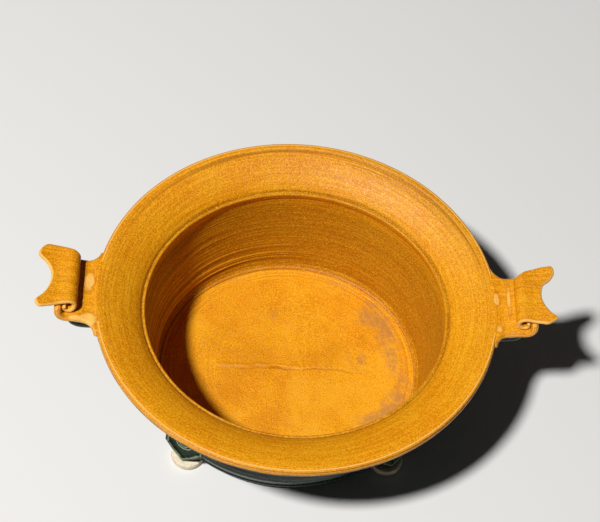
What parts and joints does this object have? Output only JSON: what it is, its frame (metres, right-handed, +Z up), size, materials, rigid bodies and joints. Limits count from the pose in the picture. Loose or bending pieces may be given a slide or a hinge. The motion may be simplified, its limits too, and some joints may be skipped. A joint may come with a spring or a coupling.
{
  "type": "casserole dish",
  "caption": "Open oval stoneware casserole dish with a wide dished rim, rolled scroll handles and small disc feet under spiral shields.",
  "frame": {"origin": "on the table, under the middle of the dish", "axes": "+X along the long axis, through the right handle; +Z up out of the well; -Y to the front"},
  "size_m": [0.355, 0.264, 0.1326],
  "materials": {
    "amber_glaze": "glossy amber stoneware glaze, fine-speckled, red-brown at the edges",
    "green_glaze": "glossy dark green stoneware glaze, lighter on raised lines",
    "bare_stoneware": "unglazed cream stoneware, matt"
  },
  "bodies": {
    "root": {"floor_slab": "amber_glaze", "wall_ring": "amber_glaze", "rim_flange": "amber_glaze", "handle_strap_right": "amber_glaze", "handle_scroll_right": "amber_glaze", "handle_lug_right": "green_glaze", "handle_strap_left": "amber_glaze", "handle_scroll_left": "amber_glaze", "handle_lug_left": "green_glaze", "foot_disc_front_left": "bare_stoneware", "foot_shield_front_left": "green_glaze", "spiral_trail_front_left": "green_glaze", "foot_disc_front_right": "bare_stoneware", "foot_shield_front_right": "green_glaze", "spiral_trail_front_right": "green_glaze", "foot_disc_back_left": "bare_stoneware", "foot_shield_back_left": "green_glaze", "spiral_trail_back_left": "green_glaze", "foot_disc_back_right": "bare_stoneware", "foot_shield_back_right": "green_glaze", "spiral_trail_back_right": "green_glaze"}
  },
  "joints": []
}
